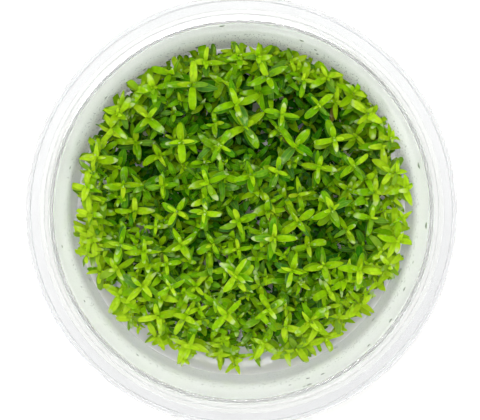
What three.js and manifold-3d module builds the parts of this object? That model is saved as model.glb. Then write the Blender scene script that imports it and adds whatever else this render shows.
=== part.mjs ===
// A tissue-culture cup of Gratiola viscidula: a clear drafted cup with a stepped rim, a plain label round
// the back of its wall, a bed of nutrient gel, and branching plantlets that root in the gel. Millimetres,
// +Z up. The origin is the centre of the ring that the cup stands on, and +Y is the label's side.
import * as THREE from "three";
import { ConvexGeometry } from "three/addons/geometries/ConvexGeometry.js";
import { mergeGeometries, mergeVertices } from "three/addons/utils/BufferGeometryUtils.js";
import Module from "manifold-3d";

const wasm = await Module();
wasm.setup();

// Cup
const CUP_HEIGHT = 55;
const RIM_RADIUS = 50;
const MOUTH_RADIUS = 43.2;
const DRAFT = 0.05; // the wall draws in by this much for each millimetre down
const WALL = 0.9;
const LIP_WIDTH = 3.2; // the flat top of the lip, from the mouth to the step
const STEP_DROP = 3.5; // from the lip down to the flange
const SKIRT_HEIGHT = 4.5;
const FOOT_LIFT = 1.2; // the base stands clear of the table inside its foot ring
const FOOT_INSIDE = 35;
const FOOT_OUTSIDE = 39.8;
const FLOOR = 2.1; // the top of the cup's floor
const FLOOR_BEVEL = 1; // inside, where the floor meets the wall
const ROUND_SIDES = 48;

// Gel and label
const GEL_TOP = 15;
const ROOT_DEPTH = 4;
const LABEL_START = 33.5; // degrees from +X
const LABEL_END = 165;
const LABEL_BOTTOM = 16;
const LABEL_TOP = 44;
const LABEL_THICKNESS = 0.3;

// Plantlets
const STEM_RADIUS = 0.55; // from the middle of the square stem to its edge
const CROWN = GEL_TOP + 1.5; // the height where a branch leaves its main stem
const ROOT_INWARD = 0.96; // a root's distance from the middle of the cup, of its shoots' distance
const ROOT_SHARE = 0.35; // where a branching plantlet roots, on the way from its main shoot to its branch
const NODE_HEIGHT = 0.7; // of the stretch of stem that a whorl of leaves grows from
const LEAF_WIDTH = 0.36; // of the leaf's length
const LEAF_WIDEST = 0.55; // where the leaf is widest, of its length
const LEAF_FOLD = 0.07; // how far the sides stand above the midrib, of the leaf's length
const LEAF_DROOP = 0.08; // how far the tip bends down, of the leaf's length
const GAP = 0.3; // clearance between neighbouring pieces
const CANOPY_TOP = 39.6; // no leaf reaches higher, so the air space under the rim stays free

// Where each plantlet's whorls show from above: x, y, height, turn of the outer leaves in degrees, leaf
// length. The main shoot comes first, then the shoot that branches from it.
const PLANTLETS = [
  [[-11.7, 30.3, 35.5, 90, 6], [-6.7, 37.5, 30, 0, 4.5]],
  [[-1.3, 26, 35, 20, 6], [-4.2, 31.2, 33, 60, 4.5]],
  [[-29, 25, 33, 105, 5.5], [-32, 19.5, 29, 60, 5]],
  [[-22.4, 22.6, 33, -40, 5], [-22.4, 29.4, 29, 60, 5]],
  [[-14.4, 16.5, 35, 95, 5], [-20, 13.6, 27, 30, 5]],
  [[-26, 17, 27, 0, 5]],
  [[6.2, 32.6, 34, 25, 5.5], [4.6, 37.6, 31, 60, 4.5]],
  [[-1, 36.8, 30, 70, 4.5]],
  [[15.1, 31.8, 32, 80, 4.5], [12, 36.6, 30, 20, 4.5]],
  [[9.8, 23.3, 35, -10, 4.5]],
  [[0.8, 20.6, 33, 35, 6], [-6.4, 21.2, 32, 95, 3.5]],
  [[-5, 15.8, 34, 60, 4.5]],
  [[13, 15.6, 33, 50, 5.5]],
  [[18.6, 25.4, 34, 40, 4.5], [23, 26.6, 31, 90, 4.5]],
  [[20.8, 32.4, 32, 30, 5]],
  [[28, 27, 31, -45, 5], [32, 21.8, 30, 90, 4.5]],
  [[22.4, 17.3, 34, 10, 5]],
  [[34.2, 15.8, 31, 95, 5.5], [28, 18.4, 27, 45, 5]],
  [[-35.2, 12.9, 33, -5, 5.5]],
  [[-28.5, 6.2, 34, 0, 5], [-26, 0.2, 29, 0, 5]],
  [[-19.2, 6.2, 33, 5, 4]],
  [[-36.8, 3.5, 30, 70, 5], [-34.2, -3, 28, 80, 5]],
  [[-15.6, 0, 34, 60, 4], [-20.9, -3.8, 30, 0, 3]],
  [[-29.2, -8.2, 34, 75, 5], [-36.4, -9.4, 28, 90, 4.5]],
  [[-23.6, -9.8, 31, 0, 5]],
  [[-14.4, -8, 33, 120, 4.5], [-18.4, -13, 31, 10, 4]],
  [[-8.2, 7, 35.5, 20, 5]],
  [[2.2, 8.6, 35.5, 15, 4.5]],
  [[8.8, 9.6, 34, 70, 4], [6.8, 2, 29, 30, 4.5]],
  [[-8.8, -0.4, 34, -5, 4], [-7, -8, 29, 30, 4.5]],
  [[-0.8, -2.4, 31, 20, 5], [-0.8, -9.2, 29, 10, 4]],
  [[7.9, -6.5, 36.2, 0, 5.7]],
  [[13.6, -2.4, 33, 35, 5], [14.2, 4.2, 29, 100, 4.5]],
  [[20, -13.4, 32, 10, 5], [16.4, -8.4, 29, 10, 4.5]],
  [[27.2, 11, 33, 40, 4.5], [26, 5.4, 28, 60, 4.5]],
  [[18.8, 10.6, 33, -10, 4.5]],
  [[21.7, 0.4, 35, 25, 5.5], [25.6, -4.6, 30, -60, 4]],
  [[36, 9.4, 32, -35, 5.5], [32.6, 4.6, 30, 0, 5.5]],
  [[31.4, -1.6, 32, -10, 4.5], [37, -4, 29, 90, 5]],
  [[-30.2, -14, 30, 30, 5], [-35, -15, 26, 0, 4.5]],
  [[-30, -20.8, 27, 60, 5], [-27, -26.4, 25, 0, 4]],
  [[-24.2, -18.4, 30, 45, 5.5]],
  [[-17.1, -18.4, 32, 30, 4], [-11.2, -18.4, 29, 45, 4.5]],
  [[-20.4, -25.6, 29, 10, 5], [-21, -31, 24.5, -60, 4]],
  [[-13.8, -25.8, 29, 60, 5], [-12.7, -33.2, 26, -20, 5.5]],
  [[-3.6, -25, 33, 45, 5]],
  [[-1.6, -15.4, 34, 55, 5], [4.4, -18.2, 29, 20, 4.5]],
  [[6.8, -23.7, 32, 35, 4.5], [10.8, -28.4, 28, -10, 4.5]],
  [[5.4, -32.4, 26.5, 60, 4.5]],
  [[-5.2, -35.4, 24, 90, 4]],
  [[12.2, -14.2, 34.5, 75, 4.5]],
  [[28.6, -14.2, 33, -5, 5.5], [34.2, -9.6, 30, 130, 5]],
  [[21.4, -19.4, 29, 30, 4.5]],
  [[16.8, -26.8, 29, 40, 5]],
  [[29.6, -22.6, 27, -45, 5], [24, -26, 25, 90, 4.5]],
  [[35.4, -14.9, 26, 60, 4]],
  [[13.4, -33.8, 25, 30, 5], [21, -31.4, 24, 20, 4.5]],
];

// A shoot's three pairs of leaves. The span is the stretch of stem that a pair grows from, counted back
// from the stem's last ring, and the sides are two of its four faces. The lift is in degrees above the
// horizontal, and the length is a share of the shoot's leaf length.
const LOWER_SPAN = -4;
const TOP_SPAN = -2;
const BRANCH_SPAN = -6; // of the main stem, where its branch leaves it
const LOWER_NODE_BELOW = 6.2; // from the shoot's top
const OUTER_PAIR = { span: TOP_SPAN, sides: [0, 2], lift: 14, length: 1 };
const UPPER_PAIR = { span: TOP_SPAN, sides: [1, 3], lift: 36, length: 0.75 };
const LOWER_PAIR = { span: LOWER_SPAN, sides: [1, 3], lift: 8, length: 1 };

// What a leaf tries in turn where a neighbour is in its way: more turn, more lift, share of length.
const LEAF_TRIES = [
  [0, 0, 1], [14, 6, 0.95], [-14, -6, 0.95], [8, 20, 0.85], [24, 4, 0.85],
  [-24, 10, 0.85], [0, 26, 0.7], [0, -12, 0.7], [0, 12, 0.55],
];

function finish(color, roughness, opacity = 1) {
  return new THREE.MeshStandardMaterial({ color, roughness, opacity, transparent: opacity < 1 });
}
const PLASTIC = finish(0xe6ebe8, 0.12, 0.35);
const PAPER = finish(0xf2f2ee, 0.8);
const GEL = finish(0xdfe3c8, 0.25, 0.6);
const FOLIAGE = finish(0x6fa312, 0.45);

const radians = THREE.MathUtils.degToRad;
const SIDES = [0, 1, 2, 3];
const SAME_PLACE = 1e-3; // vertices closer than this are one

// Inner radius of the wall at height z.
function wallAt(z) {
  return MOUTH_RADIUS - DRAFT * (CUP_HEIGHT - z);
}

// A closed geometry as a manifold-3d solid.
function toSolid(geometry) {
  const bare = geometry.clone();
  bare.deleteAttribute("normal");
  bare.deleteAttribute("uv");
  const merged = mergeVertices(bare, SAME_PLACE);
  return new wasm.Manifold(
    new wasm.Mesh({
      numProp: 3,
      vertProperties: merged.attributes.position.array,
      triVerts: new Uint32Array(merged.index.array),
    }),
  );
}

// A manifold-3d solid as a three.js geometry.
function toGeometry(solid) {
  const { vertProperties, triVerts } = solid.getMesh();
  const geometry = new THREE.BufferGeometry();
  geometry.setAttribute("position", new THREE.BufferAttribute(vertProperties, 3));
  geometry.setIndex(new THREE.BufferAttribute(triVerts, 1));
  geometry.computeVertexNormals();
  return geometry;
}

// A profile of [radius, height] points, from the axis back to the axis, turned about Z.
function turned(profile, sides) {
  const points = profile.map(([r, z]) => new THREE.Vector2(r, z));
  return new THREE.LatheGeometry(points, sides).rotateX(Math.PI / 2);
}

function named(name, geometry, material) {
  const mesh = new THREE.Mesh(geometry, material);
  mesh.name = name;
  return mesh;
}

function cup() {
  const step = MOUTH_RADIUS + LIP_WIDTH;
  const flange = CUP_HEIGHT - STEP_DROP;
  const underLip = CUP_HEIGHT - WALL;
  return turned(
    [
      [0, FOOT_LIFT],
      [FOOT_INSIDE, FOOT_LIFT],
      [FOOT_INSIDE + 1, 0],
      [FOOT_OUTSIDE, 0],
      [wallAt(FLOOR) + WALL, FLOOR],
      [wallAt(underLip) + WALL, underLip],
      [step - WALL, underLip],
      [step - WALL, flange - WALL],
      [RIM_RADIUS - WALL, flange - WALL],
      [RIM_RADIUS - WALL, flange - SKIRT_HEIGHT],
      [RIM_RADIUS, flange - SKIRT_HEIGHT],
      [RIM_RADIUS, flange],
      [step, flange],
      [step, CUP_HEIGHT],
      [MOUTH_RADIUS, CUP_HEIGHT],
      [wallAt(FLOOR + FLOOR_BEVEL), FLOOR + FLOOR_BEVEL],
      [wallAt(FLOOR) - FLOOR_BEVEL, FLOOR],
      [0, FLOOR],
    ],
    ROUND_SIDES,
  );
}

// The gel fills the cup's foot, with a pocket for each plantlet's root.
function gelBed(plantlets) {
  const bottom = FLOOR + GAP;
  const inset = GAP + 0.1; // the cup's facets lie inside its round radius
  let bed = toSolid(
    turned(
      [
        [0, bottom],
        [wallAt(FLOOR) - FLOOR_BEVEL - inset, bottom],
        [wallAt(FLOOR + FLOOR_BEVEL) - inset, bottom + FLOOR_BEVEL],
        [wallAt(GEL_TOP) - inset, GEL_TOP],
        [0, GEL_TOP],
      ],
      ROUND_SIDES,
    ),
  );
  const wide = STEM_RADIUS + GAP * Math.SQRT2;
  const clear = GEL_TOP + GAP; // the pockets are cut from just above the gel
  for (const { root, turn } of plantlets) {
    const ring = (z, radius) => ({ centre: root.clone().setZ(z), radius });
    const pocket = [ring(root.z - GAP, wide), ring(clear, wide), ring(clear + GAP, 0)];
    bed = bed.subtract(toSolid(column(pocket, turn)));
  }
  return toGeometry(bed);
}

// A strip round the wall's outside, in flat facets about as wide as the wall's.
function label() {
  const span = LABEL_END - LABEL_START;
  const sides = Math.round((span / 360) * ROUND_SIDES);
  const inner = (z) => wallAt(z) + WALL + GAP;
  const shape = [
    [inner(LABEL_BOTTOM), LABEL_BOTTOM],
    [inner(LABEL_BOTTOM) + LABEL_THICKNESS, LABEL_BOTTOM],
    [inner(LABEL_TOP) + LABEL_THICKNESS, LABEL_TOP],
    [inner(LABEL_TOP), LABEL_TOP],
  ];
  const positions = [];
  const quad = (a, b, c, d) => positions.push(...a, ...b, ...c, ...a, ...c, ...d);
  const at = (corner, side) => {
    const angle = radians(LABEL_START + (side / sides) * span);
    const [r, z] = shape[corner % shape.length];
    return [r * Math.cos(angle), r * Math.sin(angle), z];
  };
  for (let side = 0; side < sides; side++)
    for (let corner = 0; corner < shape.length; corner++)
      quad(at(corner, side), at(corner, side + 1), at(corner + 1, side + 1), at(corner + 1, side));
  quad(at(0, 0), at(1, 0), at(2, 0), at(3, 0));
  quad(at(3, sides), at(2, sides), at(1, sides), at(0, sides));
  const geometry = new THREE.BufferGeometry();
  geometry.setAttribute("position", new THREE.Float32BufferAttribute(positions, 3));
  geometry.computeVertexNormals();
  return geometry;
}

// A corner of a square ring whose sides look towards the turn and each quarter from it.
function ringCorner({ centre, radius }, turn, k) {
  const angle = radians(turn + 90 * k - 45);
  return new THREE.Vector3(Math.cos(angle), Math.sin(angle), 0).multiplyScalar(radius).add(centre);
}

// A square column through its rings, from the lowest to the highest. A last ring of no radius is a point.
// Where a leaf grows, its sides and tip take the place of the face, and where a branch grows, the face is
// open. A foot gives the corners of the first ring, which is then open too.
function column(rings, turn, growths = [], foot = null) {
  const points = [];
  const addPoint = (point) => points.push(point) - 1;
  const corners = rings.map((ring, level) =>
    SIDES.map((k) => {
      if (ring.radius === 0 && k > 0) return points.length - 1;
      return addPoint(foot && level === 0 ? foot[k] : ringCorner(ring, turn, k));
    }),
  );
  const faces = foot ? [] : [[0, 3, 2], [0, 2, 1]];
  for (let span = 0; span < rings.length - 1; span++)
    for (const k of SIDES) {
      const next = (k + 1) % SIDES.length;
      const [a, b] = [corners[span][k], corners[span][next]];
      const [d, c] = [corners[span + 1][k], corners[span + 1][next]];
      const growth = growths.find((one) => one.span === span - rings.length && one.side === k);
      if (!growth) faces.push([a, b, c], [a, c, d]);
      else if (growth.tip) {
        const [left, right, tip] = [growth.left, growth.right, growth.tip].map(addPoint);
        faces.push([a, left, d], [b, c, right], [d, left, tip], [d, tip, c]);
        faces.push([c, tip, right], [a, tip, left], [a, b, tip], [b, right, tip]);
      }
    }
  const whole = faces.filter(([a, b, c]) => a !== b && b !== c && c !== a);
  return new THREE.BufferGeometry().setFromPoints(points).setIndex(whole.flat());
}

// A leaf's sides, tip and keel, from the face of the stem that it grows from. The sides stand above the
// midrib, as in a shallow V, and the tip bends down. The keel is the lowest point under the widest place.
function leafForm(from, turn, lift, length) {
  const pose = new THREE.Matrix4()
    .makeTranslation(from)
    .multiply(new THREE.Matrix4().makeRotationZ(radians(turn)))
    .multiply(new THREE.Matrix4().makeRotationY(-radians(lift)));
  const place = (x, y, z) => new THREE.Vector3(x, y, z).multiplyScalar(length).applyMatrix4(pose);
  const half = LEAF_WIDTH / 2;
  const keel = place(LEAF_WIDEST, 0, -LEAF_DROOP * LEAF_WIDEST);
  keel.z -= NODE_HEIGHT / 4;
  return {
    base: from,
    left: place(LEAF_WIDEST, -half, LEAF_FOLD),
    right: place(LEAF_WIDEST, half, LEAF_FOLD),
    tip: place(1, 0, -LEAF_DROOP),
    keel,
  };
}

// The room that a leaf takes, with a margin all round.
function leafRoom({ base, left, right, tip, keel }, margin) {
  const middle = left.clone().lerp(right, 0.5);
  const outward = (point) => point.clone().add(point.clone().sub(middle).setLength(margin));
  const above = middle.clone().setZ(middle.z + margin);
  return toSolid(new ConvexGeometry([base, ...[left, right, tip, keel].map(outward), above]));
}

// Whether a leaf lies inside the cup, above the gel and under the free air space.
function insideCup({ left, right, tip }) {
  const facets = Math.cos(Math.PI / ROUND_SIDES);
  return [left, right, tip].every(
    (c) => Math.hypot(c.x, c.y) < wallAt(c.z) * facets - GAP && c.z > GEL_TOP + GAP && c.z < CANOPY_TOP,
  );
}

function boxesMeet(a, b) {
  return [0, 1, 2].every((k) => a.min[k] <= b.max[k] && b.min[k] <= a.max[k]);
}

// Whether a solid meets no stem or leaf of another shoot.
function clearOf(solid, shoot, grown) {
  const box = solid.boundingBox();
  return grown.every(
    (other) => other.shoot === shoot || !boxesMeet(box, other.box) || solid.intersect(other.solid).isEmpty(),
  );
}

// A shoot's rings. Its stem stands upright at both ends and leans across between them.
function stemRings(root, top, levels) {
  const middle = (z) => {
    const lean = THREE.MathUtils.smoothstep(z, CROWN, top.z);
    return new THREE.Vector3().lerpVectors(root, top, lean).setZ(z);
  };
  return levels.map((z) => ({ centre: middle(z), radius: z === top.z ? 0 : STEM_RADIUS }));
}

// Opens the face of the main stem that looks most towards the branch, and gives its corners as the
// branch's foot.
function joinBranch(main, branch) {
  const [root, top] = [main.rings[0].centre, branch.rings.at(-1).centre];
  const towards = THREE.MathUtils.radToDeg(Math.atan2(top.y - root.y, top.x - root.x));
  const quarters = (angle) => Math.round(angle / 90);
  const side = THREE.MathUtils.euclideanModulo(quarters(towards - main.turn), 4);
  const [low, high] = [main.rings.at(BRANCH_SPAN), main.rings.at(BRANCH_SPAN + 1)];
  const face = [[low, side], [low, side + 1], [high, side + 1], [high, side]];
  const twist = quarters(branch.turn - main.turn - side * 90);
  branch.foot = SIDES.map((k) => {
    const [ring, corner] = face[THREE.MathUtils.euclideanModulo(k + twist, 4)];
    return ringCorner(ring, main.turn, corner);
  });
  main.growths.push({ span: BRANCH_SPAN, side });
}

// The shoots of every plantlet with bare stems. A branch leaves its main stem at the crown, just above the
// gel.
function plantShoots() {
  return PLANTLETS.map((rows) => {
    const tops = rows.map(([x, y, z]) => new THREE.Vector3(x, y, z));
    const root = tops[0].clone();
    if (tops[1]) root.lerp(tops[1], ROOT_SHARE);
    root.multiplyScalar(ROOT_INWARD).setZ(GEL_TOP - ROOT_DEPTH);
    const mainFoot = tops[1] ? [root.z, CROWN - NODE_HEIGHT, CROWN] : [root.z, CROWN];
    const shoots = rows.map(([, , , turn, length], k) => {
      const top = tops[k];
      const lower = top.z - LOWER_NODE_BELOW;
      const foot = k === 0 ? mainFoot : [CROWN];
      const levels = [...foot, lower, lower + NODE_HEIGHT, top.z - NODE_HEIGHT, top.z];
      return { rings: stemRings(root, top, levels), turn, length, growths: [] };
    });
    if (shoots[1]) joinBranch(...shoots);
    return { root, turn: shoots[0].turn, shoots };
  });
}

// One leaf, in the first of its tries that is clear, or none.
function growLeaf(shoot, pair, side, grown) {
  const [under, over] = [shoot.rings.at(pair.span), shoot.rings.at(pair.span + 1)];
  const from = under.centre.clone().lerp(over.centre, 0.5);
  for (const [moreTurn, moreLift, share] of LEAF_TRIES) {
    const turn = shoot.turn + side * 90 + moreTurn;
    const leaf = leafForm(from, turn, pair.lift + moreLift, shoot.length * pair.length * share);
    if (!insideCup(leaf) || !clearOf(leafRoom(leaf, GAP), shoot, grown)) continue;
    const solid = leafRoom(leaf, 0);
    grown.push({ shoot, solid, box: solid.boundingBox() });
    shoot.growths.push({ ...leaf, span: pair.span, side });
    return;
  }
}

// All plantlets grow together, because each leaf gives way to what has grown before it.
function growPlantlets() {
  const plantlets = plantShoots();
  const shoots = plantlets.flatMap((plantlet) => plantlet.shoots);
  const grown = shoots.map((shoot) => {
    const solid = toSolid(column(shoot.rings, shoot.turn));
    return { shoot, solid, box: solid.boundingBox() };
  });
  for (const pair of [OUTER_PAIR, UPPER_PAIR, LOWER_PAIR])
    for (const shoot of shoots) for (const side of pair.sides) growLeaf(shoot, pair, side, grown);
  return plantlets;
}

function plantletGeometry({ shoots }) {
  const stems = shoots.map(({ rings, turn, growths, foot }) => column(rings, turn, growths, foot));
  const geometry = mergeVertices(mergeGeometries(stems), SAME_PLACE);
  geometry.computeVertexNormals();
  return geometry;
}

const object = new THREE.Group();
const plantlets = growPlantlets();
object.add(named("cup", cup(), PLASTIC));
object.add(named("label", label(), PAPER));
object.add(named("nutrient_gel", gelBed(plantlets), GEL));
plantlets.forEach((plantlet, k) => {
  const name = `plantlet_${String(k + 1).padStart(2, "0")}`;
  object.add(named(name, plantletGeometry(plantlet), FOLIAGE));
});

export default object;
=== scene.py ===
import bpy
import numpy as np
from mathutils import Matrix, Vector


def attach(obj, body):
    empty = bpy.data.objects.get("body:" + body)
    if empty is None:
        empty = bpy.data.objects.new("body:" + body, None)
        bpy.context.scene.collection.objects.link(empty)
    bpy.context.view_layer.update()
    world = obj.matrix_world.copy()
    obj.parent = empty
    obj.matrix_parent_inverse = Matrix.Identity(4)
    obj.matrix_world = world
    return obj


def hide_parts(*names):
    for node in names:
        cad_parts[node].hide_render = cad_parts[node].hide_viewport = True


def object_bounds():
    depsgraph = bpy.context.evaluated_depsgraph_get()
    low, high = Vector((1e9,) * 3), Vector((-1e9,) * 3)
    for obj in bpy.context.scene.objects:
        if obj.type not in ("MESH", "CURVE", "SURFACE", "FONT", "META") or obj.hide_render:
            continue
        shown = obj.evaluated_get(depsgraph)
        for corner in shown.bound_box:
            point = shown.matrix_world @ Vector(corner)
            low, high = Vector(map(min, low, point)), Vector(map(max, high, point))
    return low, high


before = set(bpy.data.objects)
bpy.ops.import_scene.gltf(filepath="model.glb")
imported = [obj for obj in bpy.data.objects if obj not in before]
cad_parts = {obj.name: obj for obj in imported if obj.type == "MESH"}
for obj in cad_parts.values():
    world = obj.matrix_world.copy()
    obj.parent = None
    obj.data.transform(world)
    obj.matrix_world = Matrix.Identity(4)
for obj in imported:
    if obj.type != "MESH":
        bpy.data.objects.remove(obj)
cad_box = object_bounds()

# A tissue-culture cup of Gratiola viscidula, seen from straight above: a clear stepped cup with a plain
# label round the back of its wall, a bed of set gel, and a dense mat of small branching plantlets.
# Lengths are in millimetres here and become metres when a mesh is made. Angles are in radians, except
# where a note says degrees. +Z is up and +Y is the label's side.
MM = 0.001
RANDOM_SEED = 41

# Cup
CUP_HEIGHT = cad_box[1][2] / MM
RIM_RADIUS = cad_box[1][0] / MM
MOUTH_RADIUS = 43.2
DRAFT = 0.05  # the wall draws in by this much for each millimetre down
WALL = 0.9
LIP_WIDTH = 3.2
STEP_RADIUS = MOUTH_RADIUS + LIP_WIDTH
STEP_DROP = 3.5
SKIRT_HEIGHT = 4.5
FOOT_LIFT = 1.2
FOOT_INSIDE = 35
FOOT_SLOPE = 1  # the foot ring's inside leans out by this much
FOOT_OUTSIDE = 39.8
FLOOR = 2.1
FLOOR_BEVEL = 1
WALL_RINGS = (54, 44, 30, 17)  # heights of the rings that split the wall's inner faces
CUP_SIDES = 192
EDGE_ROUND = 0.3  # radius of the rim's sharper corners and of the foot's inner edge
FLANGE_ROUND = 0.8  # of the flange's outer edge and of the corner where the wall meets the lip
UNDERSIDE_ROUND = 0.2  # of the corners under the flange
FOOT_ROUND = 0.5  # of the foot's outer corners
FLOOR_ROUND = 0.6  # of the corners over and under the floor's edge
ARC_STEPS = 5

# Plastic, with the two heights between which it changes
MILKY_WALL = (30, 42)  # from clear to faintly milky
FROSTED_WALL = (36, 41)  # from smooth to frosted
MILKY_RIM = (49, 51.5)  # to a little milkier
SMOOTH_RIM = (49, 51)  # from frosted to smooth again
TINT_INSIDE = 0.4  # the flange's greyer tint starts this far inside the step
TINT_OUTSIDE = 0.8  # and is full this far outside it

# Label
LABEL_START = 33.5  # degrees from +X
LABEL_END = 165
LABEL_BOTTOM = 16
LABEL_TOP = 44
LABEL_THICKNESS = 0.3
LABEL_GAP = 0.05  # between the label and the wall
LABEL_CORNER = 2.5
LABEL_COLUMNS = 160

# Gel
GEL_TOP = 15
GEL_RINGS = (30, 22.5, 15, 7.5, 0)  # radii of the rings in its flat top
MENISCUS_RISE = 0.9
MENISCUS_WIDTH = 1.6
MENISCUS_RINGS = (0, 0.4, 0.9, 1.6, 2.6, 4.5)  # distances from the wall
GEL_INSET = 0.03  # clearance from the cup's inside
GEL_FLOOR_INSET = 0.2  # more at the floor
GEL_BEVEL_INSET = 0.15  # more at the top of the floor's bevel

# Condensation
FOG_START = GEL_TOP + 1.4
FOG_TOP = 54
FOG_RINGS = 5
FOG_THIN = 27  # up to this height the leaves keep the wall nearly free of fog
FOG_THICK = 38  # from here up the fog is white
BEHIND_LABEL = (6, 22)  # the Y between which the thin fog low on the wall grows thick
PAINTED_LEAF_LIGHT_HEIGHTS = (24, 40)  # the heights between which the painted green light from the leaves on the fog fades away
FILM_GAP = 0.02
FILM_THICKNESS = 0.08
DROP_START = GEL_TOP + 1.5
DROP_BULGE = 0.42  # height of a drop, of its radius
DROP_INNER_RING = 0.4  # of its radius
MIST_DROPS = 3200
MIST_TOP = 40  # below this height the fog has gathered into fine drops
MIST_RADIUS = (0.08, 0.22)
LARGER_DROPS = 36
LARGER_RADIUS = 0.4
LARGER_SPREAD = 0.5  # the largest drop's radius is this much more

# Leaves
LEAF_STEPS = 50
LEAF_PUFF = 0.10  # how far each half of the blade bulges up, of half the width
BLADE_THICKNESS = 0.13
LEAF_WIDTH = (0.26, 0.41)  # of the length
BLUNTEST = 0.8
LEAF_BEND = (0.5, 2.5)
CURLED_SHARE = 0.2  # of the leaves bend more
CURL = 0.9  # by this much
STEEPEST_FOLD = 0.45
ROLL_SPREAD = 0.55
SWEEP_SPREAD = 0.04  # of the length
LEAF_FOOT = 0.12  # a leaf starts this far from the middle of its stem
TILT_TURN = 0.7  # a shoot's leaves lean this far round from its first pair
TURN_SPREAD = 0.14
LIFT_SPREAD = 0.12
LENGTH_SPREAD = (0.88, 1.12)
AGE_SPREAD = 0.09
YOUNGEST = -0.25  # ages run from here to 1
BROWN_SHARE = 0.012
BROWN_FROM = 0.3  # no leaf younger than this age is brown
BROWN_DEPTH = (0.3, 0.9)
LOWER_AGE = 0.5  # older leaves are deep in the mat and have fewer faces
EDGE_GLOW_START = 31  # leaves further out are painted younger and lighter: painted light through the wall
EDGE_GLOW_WIDTH = 8
FRONT_PAINTED_LIGHT = 0.12  # leaves at the front are painted this much younger and lighter: painted light on the side away from the label
FRONT_DEPTH = 30  # the front is full at this -Y, and the label's side at this Y
LEAF_FLOOR = GEL_TOP + 1.1  # from here down leaves bend flat over the gel
WALL_CLEARANCE = 0.45  # between the leaves and the wall
WALL_BEND = 1.2  # leaves this much further in start to bend along the wall

# A leaf's rings of points, as steps along it, then each ring's places across and the thickness under them.
UPPER_LEAF = (
    np.array([3, 12, 22, 32, 41, 47]),
    np.array([1, 0.5, 0, -0.5, -1, -0.5, 0, 0.5]),
    np.array([0, 0, 0, 0, 0, 1, 1.9, 1]),
)
LOWER_LEAF = (
    np.array([3, 16, 30, 43]),
    np.array([1, 0, -1, 0]),
    np.array([0, 0, 0, 1.6]),
)

# The closed buds. Each row is a pair of leaves: distance under the top, lift, length of the shoot's leaf
# size, and age, whose colour also carries painted depth shade. A side shoot's ages are counted from its own.
MAIN_BUD = np.array([
    [0.0, 1.35, 0.20, 0.00],
    [0.1, 1.10, 0.40, 0.00],
    [0.3, 0.75, 0.58, 0.05],
])
SIDE_BUD = np.array([
    [0.1, 1.15, 0.42, -0.2],
    [0.4, 0.80, 0.78, -0.1],
    [1.2, 0.45, 1.00, 0.0],
])
MAIN_PAIRS = (1.6, 3.2, 4.6)  # distances under the top of the pairs between those of the solid
MAIN_LOWER_PAIRS = 7.6  # from here down the pairs are an internode apart
SIDE_LOWER_PAIRS = 2.6
INTERNODE = 2.1

# Shoots
CROWN = GEL_TOP + 1.5  # the height where branches begin
CANOPY_LIMIT = 38.3
STEM_RADIUS = 0.4
STEM_SIDES = 8
STEM_LEVELS = 12
STEM_GREEN_TOP = 32  # from here up the stems are lightest
MAIN_TAPER = (1.15, 0.7)  # at the foot and at the top, of the stem's radius
SIDE_STEM_LEVELS = 8
SIDE_TAPER = (0.8, 0.6)
DEEP_DROP = 7  # shoots that end this far under the canopy have fewer faces
DEEP_STEM_SIDES = 5
BRANCH_DROP = (6, 11)  # a side shoot leaves its main stem this far under its own top
SIDE_LEAF = (2.3, 5.6)  # length of a side shoot's leaves
SIDE_TILT = 0.9  # the most that they lean to one side
# Layers of side shoots: spacing, least and most drop under the canopy, then the least distance from a
# main shoot and from the wall.
SHOOT_LAYERS = (
    (3.45, 0.5, 6.5, 2.0, 1.4),
    (3.8, 7.0, 13.0, 1.0, 4.5),
    (4.0, 14.0, 19.0, 0.8, 6.5),
)
# Deeper places in the mat, darker from real shade and from the painted shade of an older leaf colour: x, y
# and radius.
VALLEYS = np.array([
    [-25, 16, 6.5],
    [21, 22, 7.5],
    [13, 27, 4],
    [-11, 23, 4],
    [5, 16, 4.5],
    [17, -9, 4],
    [-17, 4, 4.5],
    [-2, -2, 4.5],
])
VALLEY_DROP = 7
FRONT_GAPS = 4.5  # at the front, side shoots stay up to this much further in
WALL_SHOOTS_START = -20  # degrees from +X, where the small shoots along the wall begin
WALL_SHOOTS_END = 200
WALL_SHOOT_STEP = 4.4  # degrees between them
WALL_SHOOT_LOWEST = 25
WALL_SHOOT_GAP = (1.6, 4.0)
LEFT_GAP = 2.2  # at the back left they stand up to this much further in
LEFT_GAP_ANGLE = 145  # degrees from +X

# Limits for reading a plantlet's solid
SAME_POINT = 0.002
SAME_HEIGHT = 0.05
SAME_STEM = 1.3  # stem points at one height and closer than this are on one stem
SAME_WHORL = 1.5  # leaves this close to a shoot's top are its topmost ones
STEEP = 0.35  # a leaf is steep if it rises by more than this share of its length

# Roots
ROOTS = 5
ROOT_POINTS = 9
ROOT_REACH = (2.5, 5.5)
ROOT_SINK = (2.0, 6.5)
ROOT_START = 1.5  # over the foot of the plantlet's solid
ROOT_WAVE = 0.35
ROOT_RADIUS = 0.14
ROOT_TAPER = 0.09
ROOT_CLEARANCE = 0.8  # from the wall
GOLDEN = 2.399963  # the golden angle, for directions that don't repeat

# Light and table
HORIZON_LIGHT = 8
ZENITH_LIGHT = 1.0
HORIZON_TOP = 0.3  # sine of the elevation from which the sky is as dim as at the zenith
OVERHEAD_PLACE = (-0.03, 0.11, 1.09)  # in metres
OVERHEAD_SIZE = 0.12  # in metres
OVERHEAD_POWER = 2.4
TABLE_HALF = 3.0  # in metres
TABLE_DROP = 0.05  # below the cup's foot, so that the two share no face

# Camera
CAMERA_PLACE = (-0.35, 0.3, 455)
LENS = 130.8
SENSOR = 36


# Meshes

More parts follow.
